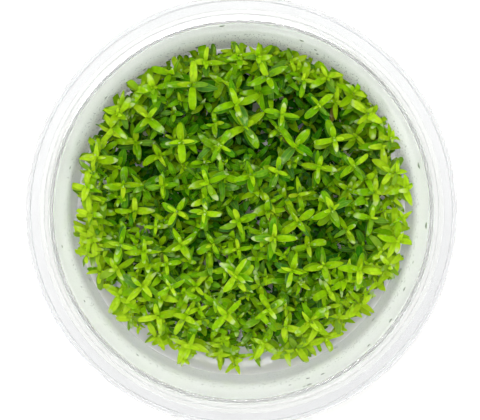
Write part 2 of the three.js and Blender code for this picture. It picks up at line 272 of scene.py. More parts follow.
def ring_faces(rings, sides):
    """Quads between the rings of a tube, and triangles to the point that closes each end."""
    ring, side = np.mgrid[0:rings - 1, 0:sides]
    along = 1 + ring * sides + side
    across = 1 + ring * sides + (side + 1) % sides
    quads = np.stack([along, across, across + sides, along + sides], -1).reshape(-1, 4)
    side = np.arange(sides)
    after = (side + 1) % sides
    last = 1 + (rings - 1) * sides
    start = np.stack([np.zeros(sides, int), 1 + after, 1 + side], -1)
    end = np.stack([np.full(sides, last + sides), last + side, last + after], -1)
    return quads, np.concatenate([start, end])


def repeated(faces, copies, step):
    """The same faces for a number of copies whose points follow each other in steps."""
    shift = np.arange(copies)[:, None, None] * step
    return (faces[None] + shift).reshape(-1, faces.shape[1])


def placed(name, data):
    """A new object of the scene."""
    made = bpy.data.objects.new(name, data)
    bpy.context.scene.collection.objects.link(made)
    return made


def mesh_piece(name, parts, materials, crease):
    """An object that rides on the part, from parts of (points, face arrays, material number, attributes).

    Points come in millimetres. Attributes are numbers for each point, and a part without one has zeros.
    Edges that turn by more than the crease, in degrees, are sharp.
    """
    points = np.concatenate([part[0] for part in parts])
    offsets = np.cumsum([0] + [len(part[0]) for part in parts])
    corners, sizes, numbers = [], [], []
    for (_, faces, number, _), offset in zip(parts, offsets):
        for rows in faces:
            corners.append((rows + offset).ravel())
            sizes.append(np.full(len(rows), rows.shape[1]))
            numbers.append(np.full(len(rows), number))
    gathered = (corners, sizes, numbers)
    corners, sizes, numbers = (np.concatenate(rows).astype(np.int32) for rows in gathered)
    mesh = bpy.data.meshes.new(name)
    mesh.vertices.add(len(points))
    mesh.vertices.foreach_set("co", (points * MM).astype(np.float32).ravel())
    mesh.loops.add(len(corners))
    mesh.loops.foreach_set("vertex_index", corners)
    mesh.polygons.add(len(sizes))
    mesh.polygons.foreach_set("loop_start", (np.cumsum(sizes) - sizes).astype(np.int32))
    mesh.polygons.foreach_set("material_index", numbers)
    mesh.update(calc_edges=True)
    mesh.shade_smooth()
    mesh.set_sharp_from_angle(angle=np.radians(crease))
    for attribute in sorted({key for part in parts for key in part[3]}):
        values = [part[3].get(attribute, np.zeros(len(part[0]))) for part in parts]
        layer = mesh.attributes.new(attribute, "FLOAT", "POINT")
        layer.data.foreach_set("value", np.concatenate(values).astype(np.float32))
    for material in materials:
        mesh.materials.append(material)
    piece = placed(name, mesh)
    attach(piece, "root")
    return piece


def rounded(corners):
    """A profile of [radius, height, round] corners with an arc at each.

    An arc is a quadratic curve between the circle's tangent points, with the corner as its control. With
    an angle a between the corner's sides, those points lie r / tan(a / 2) from it.
    """
    corners = np.array(corners, float)
    place, size = corners[:, :2], corners[:, 2]
    before, after = np.roll(place, 1, 0), np.roll(place, -1, 0)
    inward = (before - place) / np.linalg.norm(before - place, axis=1, keepdims=True)
    onward = (after - place) / np.linalg.norm(after - place, axis=1, keepdims=True)
    cosine = np.clip((inward * onward).sum(1), -0.9999, 0.9999)
    reach = size / np.tan(np.arccos(cosine) / 2)
    t = np.linspace(0, 1, ARC_STEPS)[:, None, None]
    start, end = place + inward * reach[:, None], place + onward * reach[:, None]
    curve = (1 - t) ** 2 * start + 2 * t * (1 - t) * place + t ** 2 * end
    rows = [curve[:, k] if size[k] > 0 else place[k:k + 1] for k in range(len(corners))]
    return np.concatenate(rows)


def around(radius, angle, height):
    """Points at x = r cos a, y = r sin a and z = h."""
    sides = np.broadcast_arrays(radius * np.cos(angle), radius * np.sin(angle), height)
    return np.stack(sides, -1)


def gaps(x, y, places):
    """The distance across from each point to each place."""
    return np.hypot(x[:, None] - places[:, 0], y[:, None] - places[:, 1])


def lathe(profile, sides):
    """A profile of [radius, height] rows, turned about Z at equal angles."""
    angle = np.arange(sides) * 2 * np.pi / sides
    ring = around(profile[1:-1, 0, None], angle, profile[1:-1, 1, None])
    poles = np.array([[0, 0, profile[0, 1]], [0, 0, profile[-1, 1]]])
    points = np.concatenate([poles[:1], ring.reshape(-1, 3), poles[1:]])
    return points, ring_faces(len(profile) - 2, sides)


def closed_ring(profile, sides):
    """A closed profile of [radius, height] rows, clockwise from outside, turned about Z into a ring."""
    count = len(profile)
    angle = np.arange(sides)[:, None] * 2 * np.pi / sides
    grid = around(profile[:, 0], angle, profile[:, 1])
    side, row = np.mgrid[0:sides, 0:count]
    here, onward = side * count, (side + 1) % sides * count
    after = (row + 1) % count
    faces = np.stack([here + row, onward + row, onward + after, here + after], -1)
    return grid.reshape(-1, 3), [faces.reshape(-1, 4)]


def wall_at(z):
    """Inner radius of the cup's wall at height z."""
    return MOUTH_RADIUS - DRAFT * (CUP_HEIGHT - z)


# Shader nodes

def material_named(name):
    material = bpy.data.materials.new(name)
    material.use_nodes = True
    return material, material.node_tree, material.node_tree.nodes["Principled BSDF"]


def feed(tree, made, inputs):
    """Links each of a node's inputs to a socket, or sets it to a value."""
    for key, value in inputs.items():
        if isinstance(value, bpy.types.NodeSocket):
            tree.links.new(value, made.inputs[key])
        else:
            made.inputs[key].default_value = value


def node(tree, kind, inputs=None, **settings):
    """A node with its settings and inputs."""
    made = tree.nodes.new(kind)
    for key, value in settings.items():
        setattr(made, key, value)
    feed(tree, made, inputs or {})
    return made


def attribute(tree, name):
    return node(tree, "ShaderNodeAttribute", attribute_name=name).outputs["Fac"]


def object_place(tree):
    """Object coordinates, which are metres."""
    return node(tree, "ShaderNodeTexCoord").outputs["Object"]


def coordinate(tree, axis):
    return node(tree, "ShaderNodeSeparateXYZ", {0: object_place(tree)}).outputs[axis]


def noise(tree, scale, detail):
    """Noise on Object coordinates: at a scale of 1000 its grains are about a millimetre wide."""
    inputs = {"Vector": object_place(tree), "Scale": scale, "Detail": detail}
    return node(tree, "ShaderNodeTexNoise", inputs).outputs["Fac"]


def span(tree, value, low, high, to_low=0.0, to_high=1.0, smooth=True):
    """Maps low to high onto to_low to to_high, and holds the ends."""
    inputs = {"Value": value, "From Min": low, "From Max": high, "To Min": to_low, "To Max": to_high}
    kind = "SMOOTHSTEP" if smooth else "LINEAR"
    return node(tree, "ShaderNodeMapRange", inputs, interpolation_type=kind).outputs["Result"]


def maths(tree, operation, a, b):
    return node(tree, "ShaderNodeMath", {0: a, 1: b}, operation=operation).outputs[0]


def blend(tree, factor, first, second):
    """A colour between the first and the second."""
    inputs = {0: factor, 6: first, 7: second}
    return node(tree, "ShaderNodeMix", inputs, data_type="RGBA").outputs[2]


def ramp(tree, factor, stops):
    """A colour ramp through (place, colour) stops."""
    made = node(tree, "ShaderNodeValToRGB", {"Fac": factor})
    points = made.color_ramp.elements
    while len(points) < len(stops):
        points.new(0.5)
    for point, (place, colour) in zip(points, stops):
        point.position = place
        point.color = (*colour, 1)
    return made.outputs["Color"]


def bump(tree, shader, height, strength, distance):
    """Relief from a height of 0 to 1 that stands for a distance in millimetres."""
    inputs = {"Height": height, "Strength": strength, "Distance": distance * MM}
    feed(tree, shader, {"Normal": node(tree, "ShaderNodeBump", inputs).outputs["Normal"]})


def scatter(shader, weight, radius, depth):
    """Light that scatters under the surface, over a depth in millimetres times the radius of each colour."""
    shader.inputs["Subsurface Weight"].default_value = weight
    shader.inputs["Subsurface Radius"].default_value = radius
    shader.inputs["Subsurface Scale"].default_value = depth * MM


# Finishes

def height_span(tree, low, high, to_low, to_high):
    """A value that changes from to_low to to_high between two heights over the table."""
    return span(tree, coordinate(tree, "Z"), low * MM, high * MM, to_low, to_high)


def radius_span(tree, low, high, to_low, to_high):
    """A value that changes from to_low to to_high between two distances from the cup's axis."""
    inputs = {0: object_place(tree), 1: (1, 1, 0)}
    flat = node(tree, "ShaderNodeVectorMath", inputs, operation="MULTIPLY").outputs[0]
    radius = node(tree, "ShaderNodeVectorMath", {0: flat}, operation="LENGTH").outputs["Value"]
    return span(tree, radius, low * MM, high * MM, to_low, to_high)


def clear_plastic():
    """Moulded polypropylene: clear low down, frosted over the leaves, and faintly milky at the rim."""
    material, tree, shader = material_named("clear_polypropylene")
    flange = radius_span(tree, STEP_RADIUS - TINT_INSIDE, STEP_RADIUS + TINT_OUTSIDE, 0, 1)
    clear_wall = height_span(tree, *MILKY_WALL, 1, 0.92)
    clear_rim = height_span(tree, *MILKY_RIM, 1, 0.85)
    rough_wall = height_span(tree, *FROSTED_WALL, 0.06, 0.45)
    smooth_rim = height_span(tree, *SMOOTH_RIM, 1, 0.06)
    feed(tree, shader, {
        "Base Color": blend(tree, flange, (0.955, 0.965, 0.955, 1), (0.885, 0.89, 0.905, 1)),
        "Transmission Weight": maths(tree, "MINIMUM", clear_wall, clear_rim),
        "Roughness": maths(tree, "MINIMUM", rough_wall, smooth_rim),
        "IOR": 1.49,
    })
    bump(tree, shader, noise(tree, 60, 2), 0.1, 0.1)
    return material


def water():
    """Condensed drops, which are a little milky so that they stay bright on the white wall."""
    material, tree, shader = material_named("condensed_water")
    feed(tree, shader, {
        "Base Color": (0.95, 1, 0.95, 1),
        "Transmission Weight": 0.6,
        "IOR": 1.33,
        "Roughness": 0.04,
    })
    scatter(shader, 1, (1, 1, 1), 4)
    return material


def fog_film():
    """Fog of drops too small to see, whitest at a glancing angle.

    It is white over the leaves and thin beside them, but for the wall behind the label, where it stays thick
    and, low down, carries painted light: a yellow-green tint for the light the leaves next to it throw back.
    """
    material, tree, shader = material_named("fog_film")
    behind_label = span(tree, coordinate(tree, "Y"), *(y * MM for y in BEHIND_LABEL))
    grain = span(tree, noise(tree, 2600, 3), 0.3, 0.7)
    white = blend(tree, grain, (0.78, 0.85, 0.78, 1), (0.95, 1, 0.95, 1))
    # Painted bounce light: low on the wall behind the label, the fog's colour turns yellow-green beside the
    # leaves.
    painted_leaf_light = blend(tree, grain, (0.80, 0.88, 0.56, 1), (0.94, 1, 0.70, 1))
    painted_leaf_light_mask = maths(tree, "MULTIPLY", height_span(tree, *PAINTED_LEAF_LIGHT_HEIGHTS, 1, 0), behind_label)
    front = height_span(tree, FOG_THIN, FOG_THICK, 0.98, 0.2)
    feed(tree, shader, {
        "Base Color": blend(tree, painted_leaf_light_mask, white, painted_leaf_light),
        "Transmission Weight": maths(tree, "MULTIPLY", front, span(tree, behind_label, 0, 1, 1, 0.2)),
        "IOR": 1.33,
        "Specular IOR Level": 0,
        "Roughness": 0.08,
        "Sheen Weight": 1,
        "Sheen Roughness": 0.34,
    })
    scatter(shader, 1, (1, 1, 1), 6)
    bump(tree, shader, noise(tree, 1700, 2), 0.15, 0.05)
    return material


def label_paper():
    """Plain thin paper with a faint fibre tone, which lets much of the light through."""
    material, tree, shader = material_named("plain_label_paper")
    fibre = span(tree, noise(tree, 900, 4), 0.3, 0.7)
    feed(tree, shader, {
        "Base Color": blend(tree, fibre, (0.85, 0.88, 0.83, 1), (0.91, 0.93, 0.89, 1)),
        "Roughness": 0.9,
        "Transmission Weight": 0.85,
        "IOR": 1.3,
    })
    scatter(shader, 1, (1, 1, 1), 5)
    bump(tree, shader, noise(tree, 1800, 3), 0.15, 0.03)
    return material


def set_gel():
    """Pale cloudy agar with a wet, slightly uneven top."""
    material, tree, shader = material_named("set_nutrient_gel")
    cloud = span(tree, noise(tree, 180, 3), 0.3, 0.7)
    feed(tree, shader, {
        "Base Color": blend(tree, cloud, (0.96, 0.97, 0.91, 1), (0.99, 0.99, 0.96, 1)),
        "Transmission Weight": 0.35,
        "IOR": 1.34,
        "Roughness": 0.22,
    })
    scatter(shader, 1, (1, 1, 0.8), 12)
    bump(tree, shader, noise(tree, 400, 3), 0.35, 0.2)
    return material


def leaf_green():
    """Leaf: yellow-green when young to dark green when old, darker still deep in the mat by painted shade,
    with a pale midrib and mottling.

    Young leaves have painted light on their margins, and some have painted highlights as pale whitish tips;
    a few old leaves are brown.
    """
    material, tree, shader = material_named("leaf")
    age, tint, dry = (attribute(tree, name) for name in ("age", "tint", "dry"))
    aside = maths(tree, "ABSOLUTE", attribute(tree, "across"), 0)
    along = attribute(tree, "along")
    young_and_lit = span(tree, age, 0.2, 0.9, 1, 0.15)
    mottle = span(tree, noise(tree, 700, 3), 0.3, 0.7, -0.08, 0.08)
    stage = span(tree, maths(tree, "ADD", age, mottle), -0.25, 1.0, smooth=False)
    # The ramp's darker stops stand both for older leaves and for painted shade deep in the mat.
    green = ramp(tree, stage, [
        (0.0, (0.54, 0.85, 0.02)),
        (0.2, (0.305, 0.615, 0.001)),
        (0.36, (0.18, 0.455, 0.001)),
        (0.56, (0.077, 0.295, 0.001)),
        (0.76, (0.022, 0.19, 0.001)),
        (1.0, (0.007, 0.11, 0.001)),
    ])
    dull = blend(tree, span(tree, tint, 0.78, 0.95, 0, 0.6), green, (0.04, 0.13, 0.035, 1))
    warm = blend(tree, span(tree, tint, 0.25, 0.05, 0, 0.5), dull, (0.28, 0.40, 0.002, 1))
    middle = span(tree, aside, 0, 0.22, 0.35, 0)
    ribbed = blend(tree, maths(tree, "MULTIPLY", middle, young_and_lit), warm, (0.34, 0.56, 0.01, 1))
    # Painted light: the margins of young leaves are lighter, as if lit through the thin edge.
    painted_margin_light = span(tree, aside, 0.7, 1, 0, 0.3)
    painted_rim_lit = blend(tree, maths(tree, "MULTIPLY", painted_margin_light, young_and_lit), ribbed, (0.42, 0.62, 0.06, 1))
    near_foot = maths(tree, "MULTIPLY", span(tree, along, 0.3, 0.0, 0, 0.6), young_and_lit)
    foot = blend(tree, near_foot, painted_rim_lit, (0.36, 0.58, 0.005, 1))
    # Painted highlights: pale whitish patches near the tips of some young leaves stand for glints.
    highlight_patch = span(tree, noise(tree, 420, 1), 0.56, 0.68, 0, 0.7)
    end = maths(tree, "MULTIPLY", span(tree, along, 0.55, 0.85), span(tree, age, 0.15, 0.45, 1, 0))
    painted_tip_highlight = blend(tree, maths(tree, "MULTIPLY", end, highlight_patch), foot, (0.66, 0.82, 0.36, 1))
    feed(tree, shader, {
        "Base Color": blend(tree, dry, painted_tip_highlight, (0.20, 0.13, 0.025, 1)),
        "Roughness": span(tree, noise(tree, 1300, 2), 0.3, 0.7, 0.09, 0.2),
        "Specular IOR Level": 0.05,
    })
    scatter(shader, 0.5, (0.8, 1.0, 0.15), 0.6)
    bump(tree, shader, noise(tree, 1600, 3), 0.25, 0.04)
    return material


def stem_green():
    """Stem: fresh green above the gel, browner near the crown, and whitish where it roots in the gel."""
    material, tree, shader = material_named("stem")
    level = span(tree, coordinate(tree, "Z"), GEL_TOP * MM, STEM_GREEN_TOP * MM, smooth=False)
    green = ramp(tree, level, [
        (0.0, (0.42, 0.47, 0.22)),
        (0.12, (0.20, 0.25, 0.04)),
        (0.5, (0.16, 0.33, 0.02)),
        (1.0, (0.30, 0.50, 0.02)),
    ])
    streak = span(tree, noise(tree, 900, 3), 0.5, 0.7, 0, 0.35)
    tone = blend(tree, streak, green, (0.16, 0.12, 0.03, 1))
    feed(tree, shader, {"Base Color": tone, "Roughness": 0.4})
    scatter(shader, 0.2, (1.0, 0.2, 0.1), 0.4)
    bump(tree, shader, noise(tree, 2000, 2), 0.2, 0.03)
    return material


# Cup, label, gel and condensation

def build_cup(plastic):
    """One profile, from the middle underneath out, over the rim and down the inside, turned about Z."""
    flange = CUP_HEIGHT - STEP_DROP
    under_lip = CUP_HEIGHT - WALL
    skirt = flange - SKIRT_HEIGHT
    bevel = FLOOR + FLOOR_BEVEL
    profile = rounded([
        [0, FOOT_LIFT, 0],
        [FOOT_INSIDE, FOOT_LIFT, FLOOR_ROUND],
        [FOOT_INSIDE + FOOT_SLOPE, 0, EDGE_ROUND],
        [FOOT_OUTSIDE, 0, FOOT_ROUND],
        [wall_at(FLOOR) + WALL, FLOOR, FOOT_ROUND],
        [wall_at(under_lip) + WALL, under_lip, FLANGE_ROUND],
        [STEP_RADIUS - WALL, under_lip, UNDERSIDE_ROUND],
        [STEP_RADIUS - WALL, flange - WALL, UNDERSIDE_ROUND],
        [RIM_RADIUS - WALL, flange - WALL, UNDERSIDE_ROUND],
        [RIM_RADIUS - WALL, skirt, EDGE_ROUND],
        [RIM_RADIUS, skirt, EDGE_ROUND],
        [RIM_RADIUS, flange, FLANGE_ROUND],
        [STEP_RADIUS, flange, EDGE_ROUND],
        [STEP_RADIUS, CUP_HEIGHT, EDGE_ROUND],
        [MOUTH_RADIUS, CUP_HEIGHT, EDGE_ROUND],
        *[[wall_at(height), height, 0] for height in WALL_RINGS],
        [wall_at(bevel), bevel, FLOOR_ROUND],
        [wall_at(FLOOR) - FLOOR_BEVEL, FLOOR, FLOOR_ROUND],
        [0, FLOOR, 0],
    ])
    points, faces = lathe(profile, CUP_SIDES)
    cup = mesh_piece("clear_cup", [(points, faces, 0, {})], [plastic], 40)
    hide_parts("cup")


def build_gel(gel):
    """The gel fills the cup's foot. Its top rises at the wall by h exp(-d / w) at a distance d from it."""
    bottom = FLOOR + GEL_INSET
    away = np.array(MENISCUS_RINGS)
    rise = GEL_TOP + MENISCUS_RISE * np.exp(-away / MENISCUS_WIDTH)
    meniscus = np.stack([wall_at(rise) - GEL_INSET - away, rise], -1)
    foot = [
        [0, bottom],
        [wall_at(FLOOR) - FLOOR_BEVEL - GEL_INSET - GEL_FLOOR_INSET, bottom],
        [wall_at(FLOOR + FLOOR_BEVEL) - GEL_INSET - GEL_BEVEL_INSET, bottom + FLOOR_BEVEL],
    ]
    flat = [[radius, GEL_TOP] for radius in GEL_RINGS]
    points, faces = lathe(np.concatenate([foot, meniscus, flat]), CUP_SIDES)
    piece = mesh_piece("set_gel", [(points, faces, 0, {})], [gel], 50)
    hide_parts("nutrient_gel")


def build_label(paper):
    """A strip of the wall's outside with rounded corners.

    At a distance d from either end its half height is h - c + sqrt(c^2 - (c - d)^2) for a corner radius c.
    """
    length = np.radians(LABEL_END - LABEL_START) * wall_at(LABEL_TOP)
    ease = (1 - np.cos(np.linspace(0, np.pi, LABEL_COLUMNS))) / 2
    from_end = np.minimum(ease, 1 - ease) * length
    inset = np.clip(LABEL_CORNER - from_end, 0, LABEL_CORNER)
    half = (LABEL_TOP - LABEL_BOTTOM) / 2 - LABEL_CORNER + np.sqrt(LABEL_CORNER ** 2 - inset ** 2)
    angle = np.radians(LABEL_START + ease * (LABEL_END - LABEL_START))[:, None]
    share = np.array([-1, -0.5, 0, 0.5, 1, 1, 0.5, 0, -0.5, -1])
    outer = np.array([1, 1, 1, 1, 1, 0, 0, 0, 0, 0])
    height = (LABEL_TOP + LABEL_BOTTOM) / 2 + half[:, None] * share
    radius = wall_at(height) + WALL + LABEL_GAP + LABEL_THICKNESS * outer
    grid = around(radius, angle, height)
    ends = grid[[0, -1]].mean(1)
    points = np.concatenate([ends[:1], grid[:, ::-1].reshape(-1, 3), ends[1:]])
    faces = ring_faces(len(grid), len(share))
    label = mesh_piece("plain_label", [(points, faces, 0, {})], [paper], 50)
    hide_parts("label")


def wall_drops(size, top, rings, sides, material, random):
    """Drops on the inside of the wall: domes with a height of b r (1 - (d / r)^2) at a distance d.

    Here r is the drop's radius and b the bulge. They lie at random below the top.
    """
    count = len(size)
    angle = random.uniform(0, 2 * np.pi, count)
    height = random.uniform(DROP_START, top, count)
    out = around(1, angle, 0)
    side = np.stack([-np.sin(angle), np.cos(angle), np.zeros(count)], -1)
    up = np.array([0, 0, 1.0])
    centre = out * (wall_at(height) - FILM_GAP - FILM_THICKNESS)[:, None] + up * height[:, None]
    share = np.repeat(np.linspace(1, DROP_INNER_RING, rings), sides)
    turn = np.tile(np.arange(sides) * 2 * np.pi / sides, rings)
    across, along = share * np.cos(turn), share * np.sin(turn)
    bulge = DROP_BULGE * (1 - share ** 2)
    dome = side[:, None] * across[:, None] + up * along[:, None] - out[:, None] * bulge[:, None]
    local = np.concatenate([0 * out[:, None], dome, -DROP_BULGE * out[:, None]], 1)
    points = centre[:, None] + local * size[:, None, None]
    faces = [repeated(rows, count, 2 + rings * sides) for rows in ring_faces(rings, sides)]
    return points.reshape(-1, 3), faces, material, {}


def build_condensation(fog, drop_water, random):
    """A film of fog on the wall's inside from the gel to the fog's top, with drops on it."""
    level = np.linspace(FOG_START, FOG_TOP, FOG_RINGS)
    outside = np.stack([wall_at(level) - FILM_GAP, level], -1)
    inside = np.stack([wall_at(level) - FILM_GAP - FILM_THICKNESS, level], -1)[::-1]
    film, faces = closed_ring(np.concatenate([outside, inside]), CUP_SIDES)
    fine = wall_drops(random.uniform(*MIST_RADIUS, MIST_DROPS), MIST_TOP, 1, 6, 1, random)
    size = LARGER_RADIUS + LARGER_SPREAD * random.random(LARGER_DROPS) ** 2
    larger = wall_drops(size, FOG_TOP, 3, 8, 1, random)
    parts = [(film, faces, 0, {}), fine, larger]
    mesh_piece("condensation", parts, [fog, drop_water], 50)


# Leaves

def leaf_blades(form, base, tip, width, bend, fold, roll, sweep, blunt):
    """Leaves as closed thin shells, one for each row of base and tip.

    The midrib's slope falls by bend t^1.6, which bows it upwards. The curve is summed in small steps, then
    turned and scaled to end at the tip. Half the width at t goes as t^(0.5 + 0.5 b) (1 - t)^(0.8 - 0.4 b),
    where b is blunt: 0 for a pointed leaf and 1 for a rounded one. The halves rise from the midrib as a
    shallow V, by fold (1 - t / 2) times half the width, and bulge a little. The blade rolls about its
    midrib by roll t, and bows sideways by sweep 4 t (1 - t). Its thickness goes as 0.45 + 0.55 sin(pi t).
    """
    rings, across, under = form
    count = len(base)
    reach = tip - base
    flat = np.hypot(reach[:, 0], reach[:, 1])
    ahead = np.stack([reach[:, 0], reach[:, 1], np.zeros(count)], -1) / np.maximum(flat, 1e-6)[:, None]
    up = np.array([0, 0, 1.0])
    aside = np.cross(up, ahead)
    t = np.linspace(0, 1, LEAF_STEPS + 1)
    slope = -bend[:, None] * t ** 1.6
    along = np.cumsum(np.cos(slope), 1) / LEAF_STEPS
    rise = np.cumsum(np.sin(slope), 1) / LEAF_STEPS
    turn = np.arctan2(reach[:, 2], flat) - np.arctan2(rise[:, -1], along[:, -1])
    scale = np.linalg.norm(reach, axis=1) / np.hypot(rise[:, -1], along[:, -1])
    cosine, sine = np.cos(turn)[:, None], np.sin(turn)[:, None]
    x = (scale[:, None] * (along * cosine - rise * sine))[:, rings]
    z = (scale[:, None] * (along * sine + rise * cosine))[:, rings]
    t = t[rings]
    angle = (slope + turn[:, None])[:, rings]
    bow = sweep[:, None] * 4 * t * (1 - t)
    middle = base[:, None] + ahead[:, None] * x[..., None] + up * z[..., None]
    middle = middle + aside[:, None] * bow[..., None]
    normal = -ahead[:, None] * np.sin(angle)[..., None] + up * np.cos(angle)[..., None]
    rolled = (roll[:, None] * t)[..., None]
    side = aside[:, None] * np.cos(rolled) + normal * np.sin(rolled)
    normal = normal * np.cos(rolled) - aside[:, None] * np.sin(rolled)
    shape = blunt[:, None]
    outline = t ** (0.5 + 0.5 * shape) * (1 - t) ** (0.8 - 0.4 * shape)
    half = width[:, None] / 2 * outline / outline.max(1, keepdims=True)
    blade = np.abs(across)
    lift = fold[:, None, None] * (1 - 0.5 * t)[None, :, None] * blade
    lift = lift + LEAF_PUFF * 4 * blade * (1 - blade)
    thin = BLADE_THICKNESS * (0.45 + 0.55 * np.sin(np.pi * t))
    rows = middle[:, :, None] + side[:, :, None] * (half[..., None] * across)[..., None]
    rows = rows + normal[:, :, None] * (half[..., None] * lift - thin[:, None] * under)[..., None]
    return np.concatenate([base[:, None], rows.reshape(count, -1, 3), tip[:, None]], 1)


def leaf_part(form, leaves):
    """The points, faces and attributes of many leaves, from a dict of arrays with one row for each leaf."""
    rings, across, _ = form
    shape = [leaves[key] for key in ("base", "tip", "width", "bend", "fold", "roll", "sweep", "blunt")]
    points = leaf_blades(form, *shape)
    count, step = points.shape[:2]
    points = kept_clear(points.reshape(-1, 3))
    faces = [repeated(rows, count, step) for rows in ring_faces(len(rings), len(across))]
    place = np.concatenate([[0], np.repeat(rings / LEAF_STEPS, len(across)), [1]])
    over = np.concatenate([[0], np.tile(across, len(rings)), [0]])
    values = {"along": np.tile(place, count), "across": np.tile(over, count)}
    for key in ("age", "tint", "dry"):
        values[key] = np.repeat(leaves[key], step)
    return points, faces, 0, values


def kept_clear(points):
    """Bends points that come too close to the wall or to the gel.

    Past a start s, a distance d becomes s + w tanh((d - s) / w), which never reaches s + w.
    """
    radius = np.hypot(points[:, 0], points[:, 1])
    start = wall_at(points[:, 2]) - WALL_CLEARANCE - WALL_BEND
    bent = np.where(radius > start, start + WALL_BEND * np.tanh((radius - start) / WALL_BEND), radius)
    points = points * np.stack([bent / np.maximum(radius, 1e-6)] * 2 + [np.ones(len(points))], -1)
    depth = np.maximum(LEAF_FLOOR - points[:, 2], 0)
    points[:, 2] = np.where(depth > 0, LEAF_FLOOR - np.tanh(depth), points[:, 2])
    return points


# Stems and roots

def tube_part(path, radius, sides, material):
    """A round rod along a path of points with a radius at each, closed by a point at both ends.

    Each ring stands square to the path. Its first direction is the tangent crossed with a fixed slant,
    which suits upright stems.
    """
    tangent = np.gradient(path, axis=0)
    tangent /= np.linalg.norm(tangent, axis=1, keepdims=True)
    first = np.cross(tangent, [0.31, 0.95, 0.05])
    first /= np.linalg.norm(first, axis=1, keepdims=True)
    second = np.cross(tangent, first)
    turn = np.arange(sides) * 2 * np.pi / sides
    ring = first[:, None] * np.cos(turn)[:, None] + second[:, None] * np.sin(turn)[:, None]
    rows = path[:, None] + ring * np.asarray(radius)[:, None, None]
    points = np.concatenate([path[:1], rows.reshape(-1, 3), path[-1:]])
    return points, list(ring_faces(len(path), sides)), material, {}


# Growth

def welded(name):
    """A solid's points, each once, and its triangles, in millimetres."""
    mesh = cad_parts[name].data
    places = np.empty(len(mesh.vertices) * 3)
    mesh.vertices.foreach_get("co", places)
    corners = np.empty(len(mesh.loops), int)
    mesh.loops.foreach_get("vertex_index", corners)
    steps = np.round(places.reshape(-1, 3) / MM / SAME_POINT).astype(int)
    kept, which = np.unique(steps, axis=0, return_inverse=True)
    return kept * SAME_POINT, which.ravel()[corners].reshape(-1, 3)


def read_plantlet(name):
    """A plantlet's root, the tops of its shoots, and the bases and tips of its leaves, from its solid.

    A leaf's two sides are the only points with three neighbours. The neighbour furthest from the mean of
    the three is the leaf's tip, and the other two are on the stem. A shoot's top is a stem point with no
    other stem point of the same shoot at its height.
    """
    points, triangles = welded(name)
    pairs = np.concatenate([triangles[:, [0, 1]], triangles[:, [1, 2]], triangles[:, [2, 0]]])
    both = np.unique(np.concatenate([pairs, pairs[:, ::-1]]), axis=0)
    degree = np.bincount(both[:, 0], minlength=len(points))
    sides = np.flatnonzero(degree == 3)
    near = both[np.concatenate([[0], np.cumsum(degree)])[sides][:, None] + np.arange(3), 1]
    away = np.linalg.norm(points[near] - points[near].mean(1, keepdims=True), axis=2)
    tip = near[np.arange(len(sides)), away.argmax(1)]
    order = np.argsort(tip, kind="stable").reshape(-1, 2)
    tips = tip[order[:, 0]]
    on_stem = (points[near].sum(1) - points[tip]) / 2
    stem = np.setdiff1d(np.arange(len(points)), np.concatenate([sides, tips]))
    gap = points[stem][:, None] - points[stem][None]
    level = (np.abs(gap[..., 2]) < SAME_HEIGHT) & (np.hypot(gap[..., 0], gap[..., 1]) < SAME_STEM)
    tops = points[stem[level.sum(1) == 1]]
    root = points[points[:, 2] < points[:, 2].min() + SAME_HEIGHT].mean(0)
    return {"root": root, "tops": tops, "bases": on_stem[order].mean(1), "tips": points[tips]}


def main_stem(root, top):
    """Points up a main stem, which leans from its root to its top by the smooth step 3 s^2 - 2 s^3."""
    height = np.linspace(root[2], top[2], STEM_LEVELS)
    share = np.clip((height - CROWN) / (top[2] - CROWN), 0, 1)
    lean = share ** 2 * (3 - 2 * share)
    across = root[:2] + (top[:2] - root[:2]) * lean[:, None]
    return np.concatenate([across, height[:, None]], 1)


def side_stem(start, top):
    """Points up a side shoot: a quadratic curve that leaves the main stem outwards and ends upright."""
    t = np.linspace(0, 1, SIDE_STEM_LEVELS)[:, None]
    control = np.array([*(start[:2] * 0.2 + top[:2] * 0.8), start[2] * 0.65 + top[2] * 0.35])
    return (1 - t) ** 2 * start + 2 * t * (1 - t) * control + t ** 2 * top


def along_path(path, distance):
    """The points at distances back from the path's end."""
    length = np.linalg.norm(np.diff(path, axis=0), axis=1)
    at = np.concatenate([[0], np.cumsum(length)])
    wanted = at[-1] - distance
    return np.stack([np.interp(wanted, at, path[:, k]) for k in range(3)], -1)


def path_length(path):
    """The sum of the steps between neighbouring points."""
    return np.linalg.norm(np.diff(path, axis=0), axis=1).sum()


def leaf_pairs(path, first_turn, distances, lifts, lengths, ages_and_shades, random, tilt=0.0):
    """Opposite pairs of leaves on a stem, each pair turned a quarter from the one over it.

    With a tilt, the leaves lean to one side, near the first turn: the lift of a leaf at an angle a from
    that side is less by tilt cos a.
    """
    count = len(distances)
    nodes = np.repeat(along_path(path, distances), 2, 0)
    turn = first_turn + np.pi / 2 * np.arange(count)[:, None] + np.pi * np.arange(2)
    turn = turn.ravel() + random.normal(0, TURN_SPREAD, count * 2)
    lift = np.repeat(lifts, 2) + random.normal(0, LIFT_SPREAD, count * 2)
    lift = lift - tilt * np.cos(turn - first_turn - TILT_TURN)
    length = np.repeat(lengths, 2) * random.uniform(*LENGTH_SPREAD, count * 2)
    out = around(1, turn, 0)
    base = nodes + out * LEAF_FOOT
    across, rise = length * np.cos(lift), length * np.sin(lift)
    tip = base + out * across[:, None] + np.array([0, 0, 1]) * rise[:, None]
    return {"base": base, "tip": tip, "age": np.repeat(ages_and_shades, 2)}


def joined(groups):
    """One dict of arrays from several with the same keys."""
    return {key: np.concatenate([group[key] for group in groups]) for key in groups[0]}


